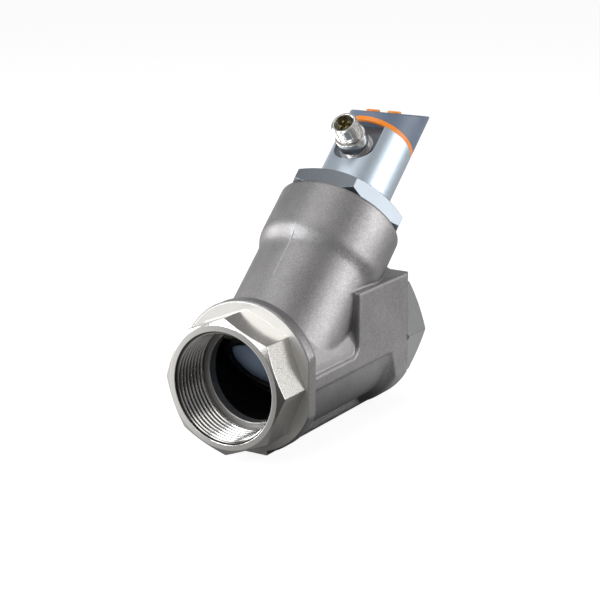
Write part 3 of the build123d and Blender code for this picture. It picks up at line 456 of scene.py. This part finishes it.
def connector_with_thread():
    """Connector shell with its M12 thread and key notch, in place of the plain solid."""
    # Heights above the branch axis, from the mouth down
    reach, thread_low, groove_low, collar_low, gasket_top, shank_low = 29.6, 22.0, 21.0, 15.4, 13.0, 6.8
    # Radii
    thread_r, minor_r, groove_r, collar_r, neck_r, shank_r, bore_r = 6.0, 5.45, 5.1, 7.0, 6.2, 5.0, 4.4
    # Thread, its run-in and run-out, and the small bevels
    pitch, steps, run_in, run_out, thread_bevel = 1.0, 10, 0.6, 0.2, 0.1
    bore_bevel, mouth_bevel, mouth_face, mouth_edge = 0.25, 0.45, 0.75, 0.2
    collar_bevel, foot_bevel, step = 0.35, 0.3, 0.02
    # Key notch
    notch_angle, notch_half, notch_r, notch_low, notch_high = math.radians(-147.0), 1.4, 5.1, 23.5, 29.0
    segments = 240
    section = [
        (bore_r + bore_bevel, reach), (thread_r - mouth_face, reach), (thread_r - mouth_edge, reach - mouth_bevel),
    ]
    length = reach - run_in - thread_low - run_out
    count = int(length / pitch * steps)
    for i in range(count + 1):
        section.append((None, reach - run_in - length * i / count))
    section += [
        (thread_r - thread_bevel, thread_low + thread_bevel), (groove_r, thread_low), (groove_r, groove_low + step),
        (collar_r - collar_bevel, groove_low), (collar_r, groove_low - collar_bevel),
        (collar_r, collar_low + foot_bevel), (collar_r - foot_bevel, collar_low), (neck_r, collar_low - step),
        (neck_r, gasket_top), (shank_r, gasket_top), (shank_r, shank_low), (bore_r, shank_low),
        (bore_r, reach - bore_bevel),
    ]
    origin = BRANCH_ORIGIN + BRANCH_Z * CONNECTOR_AXIS
    verts = []
    for radius, height in section:
        for j in range(segments):
            angle = 2 * math.pi * j / segments
            r = radius
            if r is None:
                r = minor_r + (thread_r - minor_r) * thread_wave(height / pitch - j / segments)
            off = angle - notch_angle
            in_notch = abs(math.sin(off)) * thread_r < notch_half and math.cos(off) > 0
            if in_notch and notch_low < height < notch_high:
                r = min(r, notch_r)
            verts.append(placed(origin, BRANCH_Z, -BRANCH_Y, BRANCH_X, r, angle, height))
    faces = ring_grid(len(section), segments)
    piece = mesh_piece("connector_shell_threaded", verts, faces, CONNECTOR, "head")
    piece.data.set_sharp_from_angle(angle=math.radians(35))
    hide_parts("connector_shell")


connector_with_thread()


def branch_radius(s):
    """Outer radius of the branch at a height along it."""
    if s <= STEP_LOW:
        return BRANCH_LOWER_R
    if s >= STEP_HIGH:
        return BRANCH_UPPER_R
    t = (s - STEP_LOW) / (STEP_HIGH - STEP_LOW)
    return BRANCH_LOWER_R + (BRANCH_UPPER_R - BRANCH_LOWER_R) * t * t * (3 - 2 * t)


def parting_line():
    """Low cast seam along the middle of the branch's upstream side."""
    low, high, steps, fade_steps = 30.0, 57.5, 60, 6
    half_width, sunk, rise = 0.35, -0.12, 0.32
    verts, faces = [], []
    for i in range(steps + 1):
        s = low + (high - low) * i / steps
        taper = min(1.0, i / fade_steps, (steps - i) / fade_steps)
        wave = 0.072 * math.sin(i * 0.9) + 0.048 * math.sin(i * 2.3)
        for side, lift in ((-half_width, sunk), (wave, rise * taper - 0.02), (half_width, sunk)):
            verts.append(BRANCH_ORIGIN + BRANCH_Z * s + BRANCH_X * (branch_radius(s) + lift) + BRANCH_Y * side)
        if i:
            a, b = (i - 1) * 3, i * 3
            faces += [(a, a + 1, b + 1, b), (a + 1, a + 2, b + 2, b + 1), (a + 2, a, b, b + 2)]
    last = steps * 3
    faces += [(2, 1, 0), (last, last + 1, last + 2)]
    mesh_piece("parting_line", verts, faces, SEAM, "valve")


parting_line()


# Floor, world, lights and camera
def floor_material():
    """Pale floor: near white with a faint shadow for the camera, and in reflections a glow with a painted shadow near
    the object and painted light and shade.
    """
    t = Tree("pale_floor")
    speck = t.noise(3.0, 2.0, 0.5)
    t.finish(t.ramp(speck, [(0.3, (0.80, 0.80, 0.80)), (0.7, (0.84, 0.84, 0.84))]), t.spread(speck, 0.3, 0.7, 0.8, 0.9))
    rays = t.nodes.new("ShaderNodeLightPath").outputs

    glow = t.nodes.new("ShaderNodeEmission")
    glow.inputs["Color"].default_value = WHITE + (1.0,)
    glow.inputs["Strength"].default_value = FLOOR_GLOW
    shade = t.nodes.new("ShaderNodeBsdfDiffuse")
    shade.inputs["Color"].default_value = (FLOOR_SHADE, FLOOR_SHADE, FLOOR_SHADE, 1.0)
    for_camera = t.nodes.new("ShaderNodeAddShader")
    t.link(glow.outputs[0], for_camera.inputs[0])
    t.link(shade.outputs[0], for_camera.inputs[1])

    # Painted shadow: in reflections the floor's glow is dimmed near the object by occlusion
    painted_shadow_ao = t.nodes.new("ShaderNodeAmbientOcclusion")
    painted_shadow_ao.inputs["Distance"].default_value = PAINTED_SHADOW_DISTANCE
    # Painted light and shade: the glow in reflections is brighter to one side, darker along the other and towards the
    # outlet
    painted_light = t.math(
        "MULTIPLY",
        t.spread(t.along(PAINTED_LIGHT_SIDE), *PAINTED_LIGHT_PLACES, *PAINTED_LIGHT_STRENGTHS),
        t.spread(t.parts(t.coords)["X"], *FAR_PAINTED_SHADE_PLACES, *FAR_PAINTED_SHADE_STRENGTHS),
    )
    floor_with_painted_shadow = t.spread(painted_shadow_ao.outputs["AO"], 0.3, 1.0, MIRROR_PAINTED_SHADOW, MIRROR_OPEN)
    mirrored = t.nodes.new("ShaderNodeEmission")
    t.link(t.math("MULTIPLY", floor_with_painted_shadow, painted_light), mirrored.inputs["Strength"])

    def pick(factor, a, b):
        node = t.nodes.new("ShaderNodeMixShader")
        t.link(factor, node.inputs[0])
        t.link(a, node.inputs[1])
        t.link(b, node.inputs[2])
        return node.outputs[0]

    shiny = t.math("MAXIMUM", rays["Is Glossy Ray"], rays["Is Transmission Ray"])
    others = pick(shiny, t.shader.outputs[0], mirrored.outputs[0])
    seen = pick(rays["Is Camera Ray"], others, for_camera.outputs[0])
    t.link(seen, t.nodes["Material Output"].inputs["Surface"])
    return t.material


def lay_floor():
    """Floor just under the lowest point of the object."""
    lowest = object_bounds()[0].z
    bpy.ops.mesh.primitive_plane_add(size=FLOOR_SIZE, location=(0.05, 0.0, lowest - FLOOR_GAP))
    floor = bpy.context.object
    floor.name = "floor"
    floor.data.materials.append(floor_material())


def studio_world():
    """Studio round the object: in reflections white behind it and dimmer on the photographer's side."""
    world = bpy.data.worlds.new("studio")
    bpy.context.scene.world = world
    world.use_nodes = True
    nodes, links = world.node_tree.nodes, world.node_tree.links

    def light(strength):
        node = nodes.new("ShaderNodeBackground")
        node.inputs["Color"].default_value = WHITE + (1.0,)
        node.inputs["Strength"].default_value = strength
        return node

    def pick(factor, a, b):
        node = nodes.new("ShaderNodeMixShader")
        links.new(factor, node.inputs[0])
        links.new(a, node.inputs[1])
        links.new(b, node.inputs[2])
        return node.outputs[0]

    behind = nodes.new("ShaderNodeVectorMath")
    behind.operation = "DOT_PRODUCT"
    behind.inputs[1].default_value = -CAMERA_BACK
    links.new(nodes.new("ShaderNodeTexCoord").outputs["Generated"], behind.inputs[0])
    backdrop = nodes.new("ShaderNodeMapRange")
    backdrop.interpolation_type = "SMOOTHSTEP"
    backdrop.inputs["From Min"].default_value = BACKDROP_START
    backdrop.inputs["From Max"].default_value = BACKDROP_FULL
    backdrop.inputs["To Min"].default_value = STUDIO_DIM
    backdrop.inputs["To Max"].default_value = 1.0
    links.new(behind.outputs["Value"], backdrop.inputs["Value"])
    mirrored = light(1.0)
    links.new(backdrop.outputs["Result"], mirrored.inputs["Strength"])

    rays = nodes.new("ShaderNodeLightPath").outputs
    shiny = nodes.new("ShaderNodeMath")
    shiny.operation = "MAXIMUM"
    links.new(rays["Is Glossy Ray"], shiny.inputs[0])
    links.new(rays["Is Transmission Ray"], shiny.inputs[1])
    around = pick(shiny.outputs[0], light(AMBIENT).outputs[0], mirrored.outputs[0])
    seen = pick(rays["Is Camera Ray"], around, light(1.0).outputs[0])
    links.new(seen, nodes["World Output"].inputs["Surface"])


def softbox(name, right, up, back_off, width, height, power, colour):
    """Area light placed relative to the camera's own axes, aimed at the object and unseen itself."""
    data = bpy.data.lights.new(name, "AREA")
    data.shape = "RECTANGLE"
    data.size, data.size_y = width, height
    data.energy = power
    data.color = colour
    obj = bpy.data.objects.new(name, data)
    bpy.context.scene.collection.objects.link(obj)
    obj.location = PANEL_TARGET + CAMERA_RIGHT * right + Vector((0, 0, up)) + CAMERA_BACK * back_off
    obj.rotation_mode = "QUATERNION"
    obj.rotation_quaternion = (PANEL_TARGET - obj.location).to_track_quat("-Z", "Y")
    obj.visible_camera = False


def set_camera():
    """The photograph's camera."""
    data = bpy.data.cameras.new("camera")
    data.sensor_width = 36.0
    data.lens = CAMERA_LENS
    data.clip_start = 0.01
    data.clip_end = 20.0
    camera = bpy.data.objects.new("camera", data)
    bpy.context.scene.collection.objects.link(camera)
    axes = Matrix((CAMERA_RIGHT, CAMERA_UP, CAMERA_BACK)).transposed()
    camera.matrix_world = Matrix.Translation(Vector(CAMERA_PLACE) * MM) @ axes.to_4x4()
    bpy.context.scene.camera = camera


lay_floor()
studio_world()
for panel in PANELS:
    softbox(*panel)
set_camera()
bpy.context.scene.view_settings.view_transform = "Standard"
